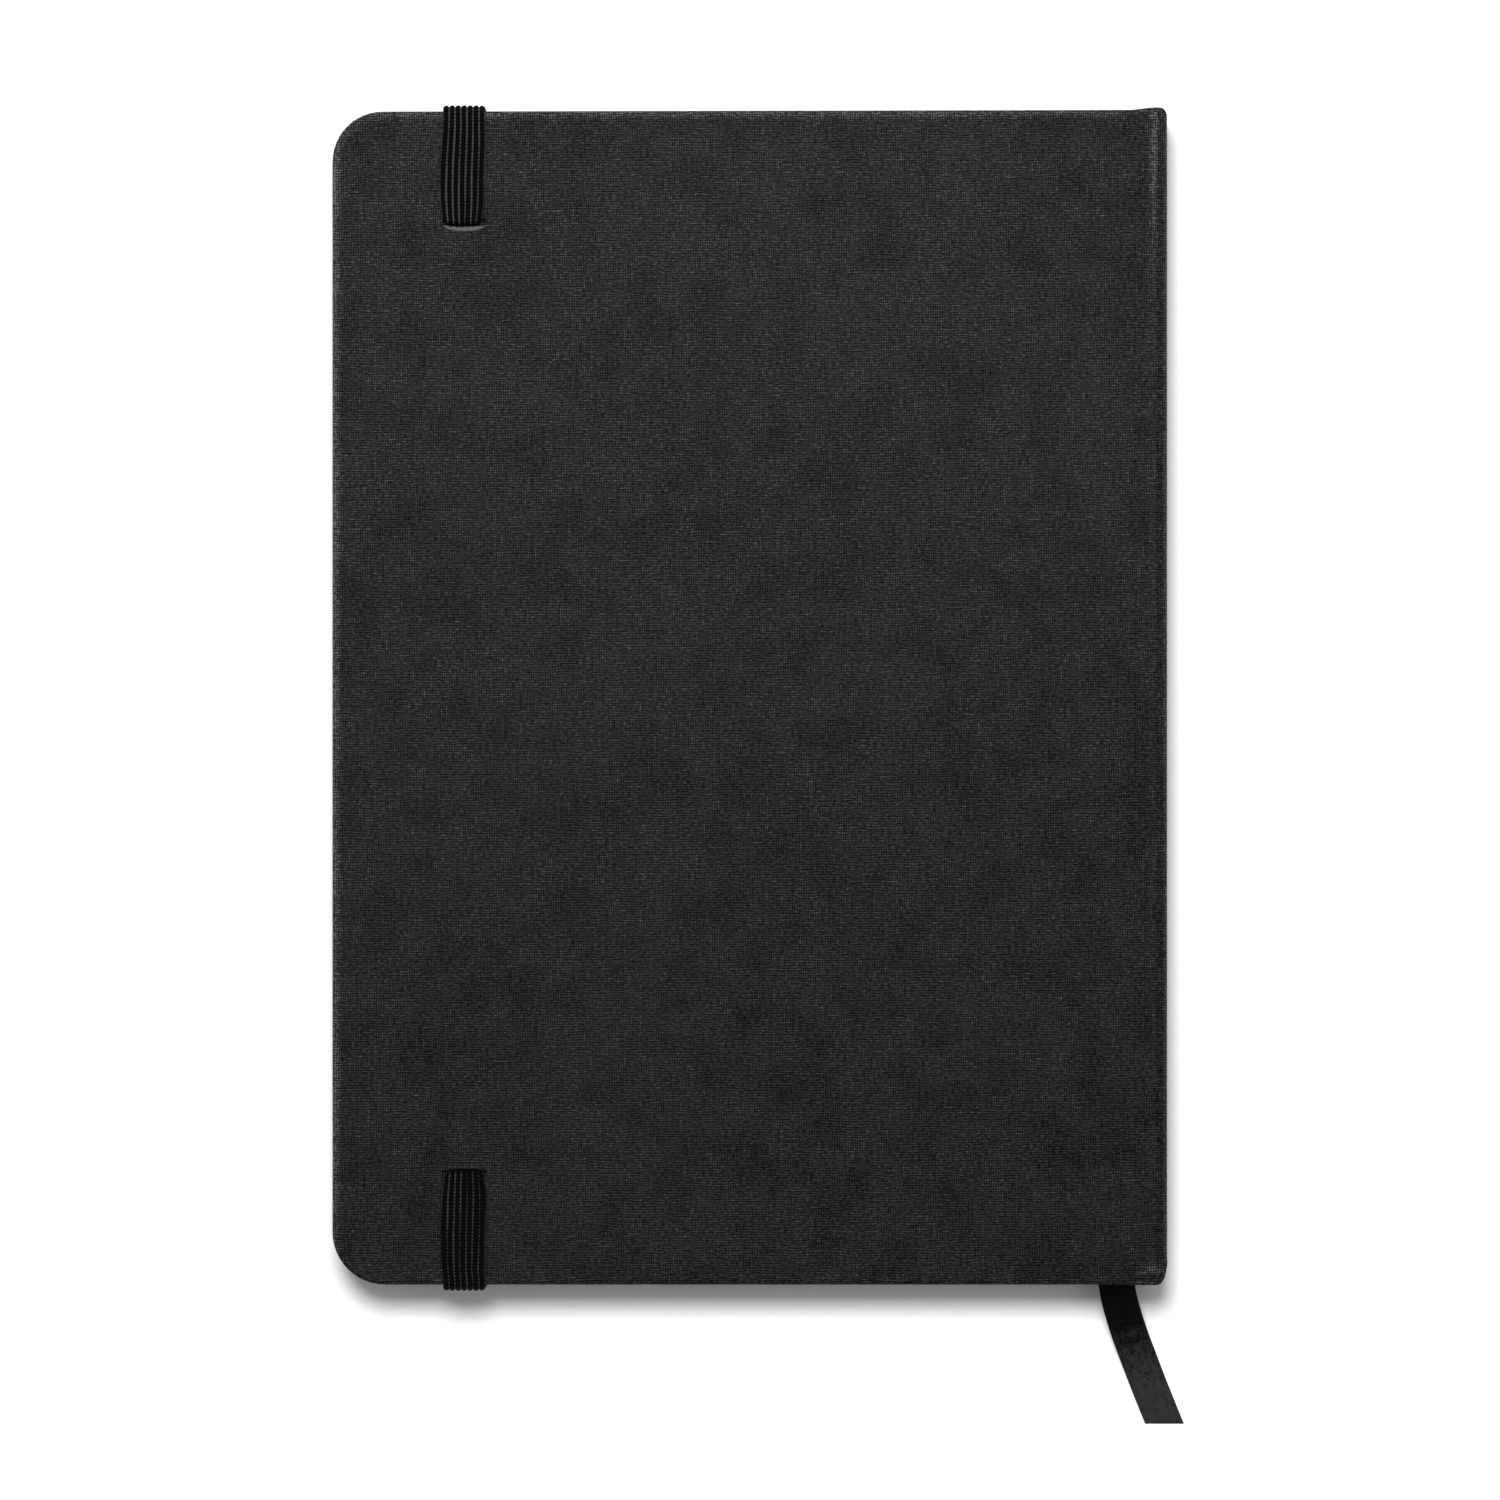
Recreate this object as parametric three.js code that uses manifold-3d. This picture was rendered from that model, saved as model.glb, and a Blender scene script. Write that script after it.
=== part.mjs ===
// Case-bound A5 sketchbook lying closed on its front cover: two boards in one textured cover
// material, a flat spine, sewn signatures, endpapers, a ribbon marker and an elastic closure.
// Millimetres. +Y runs from tail to head, +X from fore edge to spine, +Z from front to back cover.
// The origin is under the middle of the closed book, at the underside of the elastic.
import * as THREE from "three";
import { mergeVertices } from "three/addons/utils/BufferGeometryUtils.js";
import Module from "manifold-3d";

// ---- driving dimensions -------------------------------------------------------------------
const COVER_W = 149.5; // fore edge to outer face of the spine
const COVER_H = 210; // head to tail
const CORNER_R = 9; // fore-edge corners of the cover
const CORNER_STEPS = 10;
const BOARD_T = 2; // grey board
const SKIN_T = 0.35; // coated cover material
const ENDPAPER_T = 0.2;
const TURN_IN = 14; // cover material folded over the inside of a board
const JOINT_W = 6; // board edge to outer face of the spine
const HINGE_BACK = 3.75; // hinge line to outer face of the spine
const HINGE_SLIT = 0.3; // between the cover material of board and spine

const SQUARE = 3; // how far the cover overhangs the pages
const LEAF_T = 0.13;
const LEAVES_PER_SIGNATURE = 8;
const SIGNATURES = 6;
const RIBBON_AFTER = 3; // signatures between the front of the block and the ribbon
const TURNING_LEAVES = 3; // free leaves modelled singly at each side, besides the flyleaf
const FLYLEAF_HINGE_BACK = 5.15; // flyleaf's hinge line to outer face of the spine
const LEAF_STAGGER = 1; // each inner leaf's hinge line lies this much further from the spine

const SPINE_R = 2.6; // rolled edges of the spine
const SPINE_STRIP_T = 0.8;
const SPINE_STRIP_H = 208;
const HEAD_CAP = 0.9; // the spine's cover material stands this much past the head
const HOLLOW = 0.4; // between spine strip and mull
const MULL_T = 0.3;
const MULL_H = 190;
const THREAD_T = 0.4;
const THREAD_STATIONS = 5;
const THREAD_SPAN = 170;
const HEADBAND_R = 0.85;

const ELASTIC_W = 7.5;
const ELASTIC_T = 1;
const ELASTIC_IN = 23.6; // fore edge to middle of the elastic
const SLOT_IN = 20; // cover's head or tail edge to the slot
const SLOT_CLEAR = 0.3; // on every side of the elastic in its slot
const TAB_L = 15; // glued end of the elastic inside the cover
const TAB_T = 0.6;

const RIBBON_W = 6.5;
const RIBBON_T = 0.25;
const RIBBON_GLUED = 32; // length glued under the spine

const GLUE = 0.05; // between layers that are glued or pressed together
const REST = 0.1; // between soft pieces and what they lie on
const PLAY = 0.3; // between the covers and the book block

// ---- levels and lines worked out from them ------------------------------------------------
const foreX = -COVER_W / 2;
const spineX = COVER_W / 2;
const headY = COVER_H / 2;
const boardEndX = spineX - JOINT_W;
const hingeX = spineX - HINGE_BACK;
const wrapT = SKIN_T + GLUE + BOARD_T + GLUE + SKIN_T; // board with its cover material
const coverT = wrapT + GLUE + ENDPAPER_T;

const frontOuter = ELASTIC_T + REST;
const blockFront = frontOuter + coverT + PLAY;
const fanT = ENDPAPER_T + GLUE + TURNING_LEAVES * (LEAF_T + GLUE);
const signatureT = LEAVES_PER_SIGNATURE * LEAF_T;
const ribbonGap = RIBBON_T + 2 * REST;
const signatureFront = (n) =>
  blockFront + fanT + n * (signatureT + GLUE) + (n >= RIBBON_AFTER ? ribbonGap - GLUE : 0);
const stackEnd = signatureFront(SIGNATURES - 1) + signatureT;
const blockBack = stackEnd + GLUE + fanT;
const backOuter = blockBack + PLAY + coverT;
const middleZ = (frontOuter + backOuter) / 2;
const ribbonZ = signatureFront(RIBBON_AFTER) - ribbonGap / 2;

const stripOuter = spineX - SKIN_T - GLUE;
const stripInner = stripOuter - SPINE_STRIP_T;
const mullOuter = stripInner - HOLLOW;
const mullInner = mullOuter - MULL_T;
const threadInner = mullInner - GLUE - THREAD_T;
const foldX = threadInner - GLUE; // back of the folded signatures
const pageForeX = foreX + SQUARE;
const pageHeadY = headY - SQUARE;
const pageCornerR = CORNER_R - 1;

const elasticX = foreX + ELASTIC_IN;
const slotY = headY - SLOT_IN;

// ---- materials ----------------------------------------------------------------------------
const finish = (color, roughness) => new THREE.MeshStandardMaterial({ color, roughness, metalness: 0 });
const coverMaterial = finish(0x242426, 0.72);
const elasticMaterial = finish(0x0b0b0c, 0.85);
const ribbonMaterial = finish(0x101011, 0.5);
const boardMaterial = finish(0x8d877c, 0.95);
const paperMaterial = finish(0xf3efe4, 0.9);
const endpaperMaterial = finish(0xece7da, 0.9);
const clothMaterial = finish(0xd9d4c6, 0.95);
const threadMaterial = finish(0xe9e4d6, 0.8);
const bandMaterial = finish(0x17171a, 0.7);

// ---- solids -------------------------------------------------------------------------------
const wasm = await Module();
wasm.setup();

function toSolid(geometry) {
  const bare = geometry.index ? geometry.toNonIndexed() : geometry.clone();
  bare.deleteAttribute("normal");
  bare.deleteAttribute("uv");
  const merged = mergeVertices(bare, 1e-4);
  const mesh = new wasm.Mesh({
    numProp: 3,
    vertProperties: new Float32Array(merged.attributes.position.array),
    triVerts: new Uint32Array(merged.index.array),
  });
  return new wasm.Manifold(mesh);
}

function toGeometry(solid) {
  const mesh = solid.getMesh();
  const geometry = new THREE.BufferGeometry();
  geometry.setAttribute("position", new THREE.BufferAttribute(new Float32Array(mesh.vertProperties), 3));
  geometry.setIndex(new THREE.BufferAttribute(new Uint32Array(mesh.triVerts), 1));
  return geometry;
}

// A box from its lowest to its highest corner.
function box(x0, x1, y0, y1, z0, z1) {
  const geometry = new THREE.BoxGeometry(x1 - x0, y1 - y0, z1 - z0);
  geometry.translate((x0 + x1) / 2, (y0 + y1) / 2, (z0 + z1) / 2);
  return geometry;
}

// A sheet in the XY plane, round at its two fore-edge corners, from z0 to z1.
function sheet(x0, x1, halfY, radius, z0, z1) {
  const outline = new THREE.Shape();
  outline.moveTo(x1, -halfY);
  outline.lineTo(x1, halfY);
  outline.lineTo(x0 + radius, halfY);
  outline.absarc(x0 + radius, halfY - radius, radius, Math.PI / 2, Math.PI, false);
  outline.lineTo(x0, radius - halfY);
  outline.absarc(x0 + radius, radius - halfY, radius, Math.PI, 1.5 * Math.PI, false);
  const settings = { depth: z1 - z0, bevelEnabled: false, curveSegments: CORNER_STEPS };
  const geometry = new THREE.ExtrudeGeometry(outline, settings);
  geometry.translate(0, 0, z0);
  return geometry;
}

const shapeOf = (points) => new THREE.Shape(points.map(([u, v]) => new THREE.Vector2(u, v)));

// An outline in X and Z, extruded from y0 to y1.
function alongY(outline, y0, y1) {
  const settings = { depth: y1 - y0, bevelEnabled: false, curveSegments: CORNER_STEPS };
  const geometry = new THREE.ExtrudeGeometry(outline, settings);
  geometry.rotateX(Math.PI / 2); // the profile's height becomes Z, and the depth runs to -Y
  geometry.translate(0, y1, 0);
  return geometry;
}

// An outline in Y and Z, extruded from x0 to x1.
function alongX(outline, x0, x1) {
  const geometry = new THREE.ExtrudeGeometry(outline, { depth: x1 - x0, bevelEnabled: false });
  geometry.rotateX(Math.PI / 2);
  geometry.rotateZ(Math.PI / 2);
  geometry.translate(x0, 0, 0);
  return geometry;
}

// Turns a front-cover solid or profile level into the back cover's, about the middle of the book.
const facing = (back, z) => (back ? 2 * middleZ - z : z);

function between(back, z0, z1) {
  const a = facing(back, z0);
  const b = facing(back, z1);
  return [Math.min(a, b), Math.max(a, b)];
}

// ---- cover pieces -------------------------------------------------------------------------
const SLOT_SIDES = [
  { name: "head", sign: 1 },
  { name: "tail", sign: -1 },
];

function slotCut(sign, z0, z1) {
  const halfX = ELASTIC_W / 2 + SLOT_CLEAR;
  const halfY = ELASTIC_T / 2 + SLOT_CLEAR;
  return toSolid(
    box(elasticX - halfX, elasticX + halfX, sign * slotY - halfY, sign * slotY + halfY, z0, z1),
  );
}

function tabRecess(sign, z0, z1) {
  const halfX = ELASTIC_W / 2 + SLOT_CLEAR;
  const outerY = slotY + ELASTIC_T / 2 + SLOT_CLEAR;
  const innerY = slotY - TAB_L - SLOT_CLEAR;
  const ends = [sign * outerY, sign * innerY].sort((a, b) => a - b);
  return toSolid(box(elasticX - halfX, elasticX + halfX, ends[0], ends[1], z0, z1));
}

function coverSkin(back) {
  const inset = SKIN_T;
  const level = (z0, z1) => between(back, frontOuter + z0, frontOuter + z1);
  const end = hingeX - HINGE_SLIT / 2;
  let skin = toSolid(sheet(foreX, end, headY, CORNER_R, ...level(0, wrapT)));
  const inside = level(SKIN_T, wrapT - SKIN_T);
  skin = skin.subtract(toSolid(sheet(foreX + inset, end + 1, headY - inset, CORNER_R - inset, ...inside)));
  const flap = inset + TURN_IN;
  const window = sheet(foreX + flap, end + 1, headY - flap, 1, ...level(SKIN_T + GLUE, wrapT + 1));
  skin = skin.subtract(toSolid(window));
  const jointGap = box(boardEndX + GLUE, end + 1, -headY - 1, headY + 1, ...level(SKIN_T, wrapT + 1));
  skin = skin.subtract(toSolid(jointGap));
  if (back) {
    for (const { sign } of SLOT_SIDES) {
      skin = skin.subtract(slotCut(sign, ...level(-1, SKIN_T + GLUE)));
      skin = skin.subtract(tabRecess(sign, ...level(wrapT - SKIN_T - GLUE, wrapT + 1)));
    }
  }
  return toGeometry(skin);
}

function board(back) {
  const inset = SKIN_T + GLUE;
  const level = (z0, z1) => between(back, frontOuter + inset + z0, frontOuter + inset + z1);
  const blank = sheet(foreX + inset, boardEndX, headY - inset, CORNER_R - inset, ...level(0, BOARD_T));
  if (!back) return blank;
  let cut = toSolid(blank);
  for (const { sign } of SLOT_SIDES) {
    cut = cut.subtract(slotCut(sign, ...level(-1, BOARD_T + 1)));
    cut = cut.subtract(tabRecess(sign, ...level(BOARD_T - TAB_T, BOARD_T + 1)));
  }
  return toGeometry(cut);
}

function pastedown(back) {
  const start = frontOuter + wrapT + GLUE;
  const radius = pageCornerR;
  return sheet(pageForeX, boardEndX, pageHeadY, radius, ...between(back, start, start + ENDPAPER_T));
}

// ---- elastic closure ----------------------------------------------------------------------
// The strap lies on the back cover, dives through its slot and ends glued inside the board.
function elasticStrap(sign) {
  const top = backOuter + REST;
  const inside = backOuter - SKIN_T - GLUE - BOARD_T; // inner face of the board
  const nearY = slotY - ELASTIC_T / 2;
  const farY = slotY + ELASTIC_T / 2;
  const edgeY = headY + REST - GLUE;
  const tabEnd = slotY - TAB_L;
  const profile = [
    [edgeY, top],
    [edgeY, top + ELASTIC_T],
    [nearY, top + ELASTIC_T],
    [nearY, inside + TAB_T - GLUE],
    [tabEnd, inside + TAB_T - GLUE],
    [tabEnd, inside],
    [farY, inside],
    [farY, top],
  ].map(([y, z]) => [sign * y, z]);
  return alongX(shapeOf(profile), elasticX - ELASTIC_W / 2, elasticX + ELASTIC_W / 2);
}

// From the strap's end down past the edges of both covers.
function elasticLeg(sign) {
  const top = backOuter + REST + ELASTIC_T;
  const ends = [sign * (headY + REST), sign * (headY + REST + ELASTIC_T)].sort((a, b) => a - b);
  return box(elasticX - ELASTIC_W / 2, elasticX + ELASTIC_W / 2, ...ends, 0, top);
}

// Under the front cover, from leg to leg.
function elasticStrand() {
  const end = headY + REST - GLUE;
  return box(elasticX - ELASTIC_W / 2, elasticX + ELASTIC_W / 2, -end, end, 0, ELASTIC_T);
}

// ---- spine --------------------------------------------------------------------------------
// Cover material of the spine: a C in section, from hinge line to hinge line.
function spineSkin() {
  const start = hingeX + HINGE_SLIT / 2;
  const innerR = SPINE_R - SKIN_T;
  const outline = new THREE.Shape();
  outline.moveTo(start, frontOuter);
  outline.absarc(spineX - SPINE_R, frontOuter + SPINE_R, SPINE_R, -Math.PI / 2, 0, false);
  outline.absarc(spineX - SPINE_R, backOuter - SPINE_R, SPINE_R, 0, Math.PI / 2, false);
  outline.lineTo(start, backOuter);
  outline.lineTo(start, backOuter - SKIN_T);
  outline.absarc(spineX - SPINE_R, backOuter - SPINE_R, innerR, Math.PI / 2, 0, true);
  outline.absarc(spineX - SPINE_R, frontOuter + SPINE_R, innerR, 0, -Math.PI / 2, true);
  outline.lineTo(start, frontOuter + SKIN_T);
  return alongY(outline, -headY, headY + HEAD_CAP);
}

function spineStrip() {
  const half = SPINE_STRIP_H / 2;
  return box(stripInner, stripOuter, -half, half, frontOuter + SPINE_R, backOuter - SPINE_R);
}

function spineMull() {
  return box(mullInner, mullOuter, -MULL_H / 2, MULL_H / 2, blockFront, blockBack);
}

// Link stitches across the folds, joined by the run of thread from station to station.
function sewingThread() {
  const outer = threadInner + THREAD_T;
  const first = signatureFront(0);
  const last = stackEnd;
  const runZ = ribbonZ - THREAD_T / 2;
  let thread = toSolid(box(threadInner, outer, -THREAD_SPAN / 2, THREAD_SPAN / 2, runZ, runZ + THREAD_T));
  for (let i = 0; i < THREAD_STATIONS; i++) {
    const y = (i / (THREAD_STATIONS - 1) - 0.5) * THREAD_SPAN;
    thread = thread.add(toSolid(box(threadInner, outer, y - THREAD_T, y + THREAD_T, first, last)));
  }
  return toGeometry(thread);
}

function headband(sign) {
  const geometry = new THREE.CylinderGeometry(HEADBAND_R, HEADBAND_R, blockBack - blockFront, 12);
  geometry.rotateX(Math.PI / 2);
  const y = sign * (pageHeadY + HEADBAND_R + GLUE);
  geometry.translate(foldX - HEADBAND_R, y, (blockFront + blockBack) / 2);
  return geometry;
}

// ---- book block ---------------------------------------------------------------------------
function signature(n) {
  const front = signatureFront(n);
  return sheet(pageForeX, foldX, pageHeadY, pageCornerR, front, front + signatureT);
}

const leafHingeX = (n) => spineX - FLYLEAF_HINGE_BACK - n * LEAF_STAGGER;
const leafThickness = (n) => (n === 0 ? ENDPAPER_T : LEAF_T);
const leafFront = (n) => blockFront + (n === 0 ? 0 : ENDPAPER_T + GLUE + (n - 1) * (LEAF_T + GLUE));

// Leaf 0 is the flyleaf, and higher numbers lie deeper in the block.
function turningLeaf(back, n) {
  const z = leafFront(n);
  return sheet(pageForeX, leafHingeX(n), pageHeadY, pageCornerR, ...between(back, z, z + leafThickness(n)));
}

// The glued inner edges of the flyleaf and the turning leaves, one step to each hinge line.
function leafGuard(back) {
  const profile = [[foldX, facing(back, blockFront)]];
  for (let n = 0; n <= TURNING_LEAVES; n++) {
    const x = leafHingeX(n) + HINGE_SLIT;
    const end = n === TURNING_LEAVES ? leafFront(n) + leafThickness(n) : leafFront(n + 1);
    profile.push([x, facing(back, leafFront(n))], [x, facing(back, end)]);
  }
  profile.push([foldX, facing(back, leafFront(TURNING_LEAVES) + LEAF_T)]);
  return alongY(shapeOf(profile), -pageHeadY, pageHeadY);
}

// ---- ribbon marker ------------------------------------------------------------------------
// Middle line of the ribbon: from the fold at the head, down between two signatures, out at the
// tail and down to the surface that the book lies on.
const inBlock = (fromSpine, y) => [spineX - fromSpine, y, ribbonZ];
const pastTail = (fromSpine, past, height) => [spineX - fromSpine, -headY - past, height * ribbonZ];
const RIBBON_ROUTE = [
  inBlock(7.15, pageHeadY - 1),
  inBlock(8.15, 60),
  inBlock(9.15, 10),
  inBlock(9.75, -50),
  inBlock(9.75, -88),
  inBlock(9.5, 2 - pageHeadY),
  inBlock(9.25, -1 - pageHeadY),
  pastTail(8.8, 0.4, 0.95),
  pastTail(8.25, 3.2, 0.79),
  pastTail(7.25, 6.6, 0.52),
  pastTail(5.95, 10.4, 0.27),
  pastTail(4.35, 14.6, 0.12),
  pastTail(2.5, 19.4, 0.046),
  pastTail(-0.2, 26.1, 0.019),
];

// A flat ribbon along points, its width level and square to its way across the floor.
function ribbon() {
  const curve = new THREE.CatmullRomCurve3(RIBBON_ROUTE.map((p) => new THREE.Vector3(...p)));
  const steps = 60;
  const along = curve.getSpacedPoints(steps);
  const positions = [];
  along.forEach((point, i) => {
    const before = along[Math.max(i - 1, 0)];
    const after = along[Math.min(i + 1, steps)];
    const way = after.clone().sub(before).normalize();
    const side = new THREE.Vector3(-way.y, way.x, 0).normalize().multiplyScalar(RIBBON_W / 2);
    if (i === steps) side.set(RIBBON_W / 2 / Math.abs(way.y), 0, 0); // cut level with the tail
    const rise = new THREE.Vector3().crossVectors(side, way).normalize().multiplyScalar(RIBBON_T / 2);
    if (rise.z < 0) rise.negate();
    for (const [s, r] of [[1, 1], [-1, 1], [-1, -1], [1, -1]]) {
      const corner = point.clone().addScaledVector(side, s).addScaledVector(rise, r);
      positions.push(corner.x, corner.y, Math.max(corner.z, 0));
    }
  });
  const index = [0, 2, 1, 0, 3, 2];
  for (let i = 0; i < steps; i++) {
    for (let k = 0; k < 4; k++) {
      const a = 4 * i + k;
      const b = 4 * i + ((k + 1) % 4);
      index.push(a, b, b + 4, a, b + 4, a + 4);
    }
  }
  const last = 4 * steps;
  index.push(last, last + 1, last + 2, last, last + 2, last + 3);
  const geometry = new THREE.BufferGeometry();
  geometry.setAttribute("position", new THREE.Float32BufferAttribute(positions, 3));
  geometry.setIndex(index);
  return geometry;
}

// The ribbon's other end, glued to the mull under the head of the spine.
function ribbonAnchor() {
  const start = mullOuter + (HOLLOW - RIBBON_T) / 2;
  const halfW = RIBBON_W / 2;
  return box(start, start + RIBBON_T, pageHeadY - RIBBON_GLUED, pageHeadY, ribbonZ - halfW, ribbonZ + halfW);
}

// ---- assembly -----------------------------------------------------------------------------
const book = new THREE.Group();

function add(name, geometry, material) {
  const mesh = new THREE.Mesh(geometry, material);
  mesh.name = name;
  book.add(mesh);
}

for (const back of [false, true]) {
  const side = back ? "back" : "front";
  add(`${side}_cover_skin`, coverSkin(back), coverMaterial);
  add(`${side}_board`, board(back), boardMaterial);
  add(`${side}_pastedown`, pastedown(back), endpaperMaterial);
  add(`${side}_leaf_guard`, leafGuard(back), endpaperMaterial);
  add(`${side}_flyleaf`, turningLeaf(back, 0), endpaperMaterial);
  for (let n = 1; n <= TURNING_LEAVES; n++) add(`${side}_leaf_${n}`, turningLeaf(back, n), paperMaterial);
}

for (let n = 0; n < SIGNATURES; n++) add(`signature_${n + 1}`, signature(n), paperMaterial);
add("sewing_thread", sewingThread(), threadMaterial);
add("spine_mull", spineMull(), clothMaterial);
add("spine_strip", spineStrip(), boardMaterial);
add("spine_skin", spineSkin(), coverMaterial);
add("ribbon_marker", ribbon(), ribbonMaterial);
add("ribbon_anchor", ribbonAnchor(), ribbonMaterial);
add("elastic_strand", elasticStrand(), elasticMaterial);
for (const { name, sign } of SLOT_SIDES) {
  add(`headband_${name}`, headband(sign), bandMaterial);
  add(`elastic_strap_${name}`, elasticStrap(sign), elasticMaterial);
  add(`elastic_leg_${name}`, elasticLeg(sign), elasticMaterial);
}

export default book;
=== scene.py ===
"""The looks of a case-bound A5 sketchbook, lying closed on its front cover and seen from above.

Sizes are in millimetres and turn into metres where a mesh is made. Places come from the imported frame.
"""
import math

import bmesh
import bpy
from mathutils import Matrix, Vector


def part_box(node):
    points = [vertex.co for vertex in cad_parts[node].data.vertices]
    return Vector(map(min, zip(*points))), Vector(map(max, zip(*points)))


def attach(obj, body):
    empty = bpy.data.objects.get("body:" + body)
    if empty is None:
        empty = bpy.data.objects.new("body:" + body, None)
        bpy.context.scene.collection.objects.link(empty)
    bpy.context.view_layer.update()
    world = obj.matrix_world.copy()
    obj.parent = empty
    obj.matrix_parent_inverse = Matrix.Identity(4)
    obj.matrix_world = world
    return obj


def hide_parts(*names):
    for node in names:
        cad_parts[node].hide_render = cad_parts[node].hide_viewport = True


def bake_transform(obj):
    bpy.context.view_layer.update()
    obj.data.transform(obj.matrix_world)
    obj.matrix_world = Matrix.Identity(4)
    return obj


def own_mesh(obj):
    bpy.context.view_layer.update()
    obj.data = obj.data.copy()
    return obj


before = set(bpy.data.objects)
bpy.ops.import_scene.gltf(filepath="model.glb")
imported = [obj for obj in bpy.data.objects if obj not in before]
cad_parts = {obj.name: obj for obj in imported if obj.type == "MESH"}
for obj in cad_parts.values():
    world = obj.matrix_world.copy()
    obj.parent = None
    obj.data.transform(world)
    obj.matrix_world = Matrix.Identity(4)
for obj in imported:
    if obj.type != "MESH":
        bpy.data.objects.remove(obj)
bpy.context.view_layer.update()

MM = 0.001


def box_mm(node):
    low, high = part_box(node)
    return [value / MM for value in low], [value / MM for value in high]


# ---- places read from the frame -------------------------------------------------------------
BACK_LOW, BACK_HIGH = box_mm("back_cover_skin")
STRAP_LOW, STRAP_HIGH = box_mm("elastic_strap_head")
LEG_LOW, LEG_HIGH = box_mm("elastic_leg_head")
STRAND_LOW, STRAND_HIGH = box_mm("elastic_strand")

FORE_X = BACK_LOW[0]
SPINE_X = box_mm("spine_skin")[1][0]
HEAD_Y = BACK_HIGH[1]
BACK_Z = BACK_HIGH[2]
FRONT_Z = box_mm("front_cover_skin")[0][2]
COVER_T = BACK_HIGH[2] - BACK_LOW[2]
BOARD_END_X = box_mm("back_board")[1][0]
ELASTIC_X = (STRAP_LOW[0] + STRAP_HIGH[0]) / 2
ELASTIC_W = STRAP_HIGH[0] - STRAP_LOW[0]
ELASTIC_T = LEG_HIGH[1] - LEG_LOW[1]

# ---- sizes that only the looks need ---------------------------------------------------------
CORNER_R = 9
SPINE_CORNER_R = 0.5
EDGE_R = 0.75  # rounding where the cover material folds over a board
TURN_IN = 14
SPINE_R = 2.6
CREASE_DEPTH = 0.06  # joint below the face of a cover
WORN_CORNER_R = 9.4  # the fore corner at the tail, pressed a little blunter than the one at the head
HEAD_RISE = 0.3  # a cover's head edge stands this much further out by the spine than at the fore edge
HEAD_CAP = 0.75  # the spine's material stands this much past the head
HEAD_ROUND = (1.2, 1.2)  # rounded corner at the head of the spine, across and along
TAIL_ROUND = (1.9, 3.2)  # worn corner at its tail
SLOT_IN = 20
SLOT_HALF_W = 4.0
SLOT_HALF_L = 0.8
RIB_COUNT = 7
RIB_DEPTH = 0.36
RIBBON_W = 6.5
RIBBON_T = 0.25
RIBBON_FREE = 207  # length from the ribbon's head end to where it leaves the book

CAMERA_HEIGHT = 1500
VIEW_W = 268.4  # width of the view at the back cover's face
VIEW_OFFSET_Y = -9.3
SENSOR_W = 36


# ---- mesh helpers ---------------------------------------------------------------------------
def make_object(name, points, faces, material, smooth=True):
    mesh = bpy.data.meshes.new(name)
    mesh.from_pydata([(x * MM, y * MM, z * MM) for x, y, z in points], [], faces)
    mesh.validate()
    mesh.update()
    if smooth:
        mesh.shade_smooth()
    mesh.materials.append(material)
    obj = bpy.data.objects.new(name, mesh)
    bpy.context.scene.collection.objects.link(obj)
    return obj


def loft(rings, ring_closed, caps=True):
    """Points and faces of a surface through rings of equal length."""
    count = len(rings[0])
    points = [point for ring in rings for point in ring]
    faces = []
    for row in range(len(rings) - 1):
        for k in range(count if ring_closed else count - 1):
            a = row * count + k
            b = row * count + (k + 1) % count
            faces.append((a, b, b + count, a + count))
    if caps and ring_closed:
        faces.append(tuple(range(count))[::-1])
        faces.append(tuple(range((len(rings) - 1) * count, len(rings) * count)))
    return points, faces


def face_outward(obj):
    work = bmesh.new()
    work.from_mesh(obj.data)
    bmesh.ops.recalc_face_normals(work, faces=work.faces)
    work.to_mesh(obj.data)
    work.free()


def add_strip_uv(obj, ring_count, across, along):
    """UV in millimetres: across a strip's section, and along its path."""
    layer = obj.data.uv_layers.new(name="strip")
    for polygon in obj.data.polygons:
        for loop in polygon.loop_indices:
            vertex = obj.data.loops[loop].vertex_index
            row, k = divmod(vertex, ring_count)
            layer.data[loop].uv = (across[k], along[row])


def set_wear_and_highlight(obj, values):
    """How much lighter the cover material is at each point, from rubbed wear and from painted highlights."""
    attribute = obj.data.attributes.new("wear_and_highlight", "FLOAT", "POINT")
    attribute.data.foreach_set("value", values)


def smoothstep(low, high, value):
    t = min(max((value - low) / (high - low), 0), 1)
    return t * t * (3 - 2 * t)


def ease(a, b, t):
    return a + (b - a) * t


# ---- material helpers -----------------------------------------------------------------------
BAND_SCALE = 2 * math.pi / 20  # a wave texture's scale times its pitch


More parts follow.
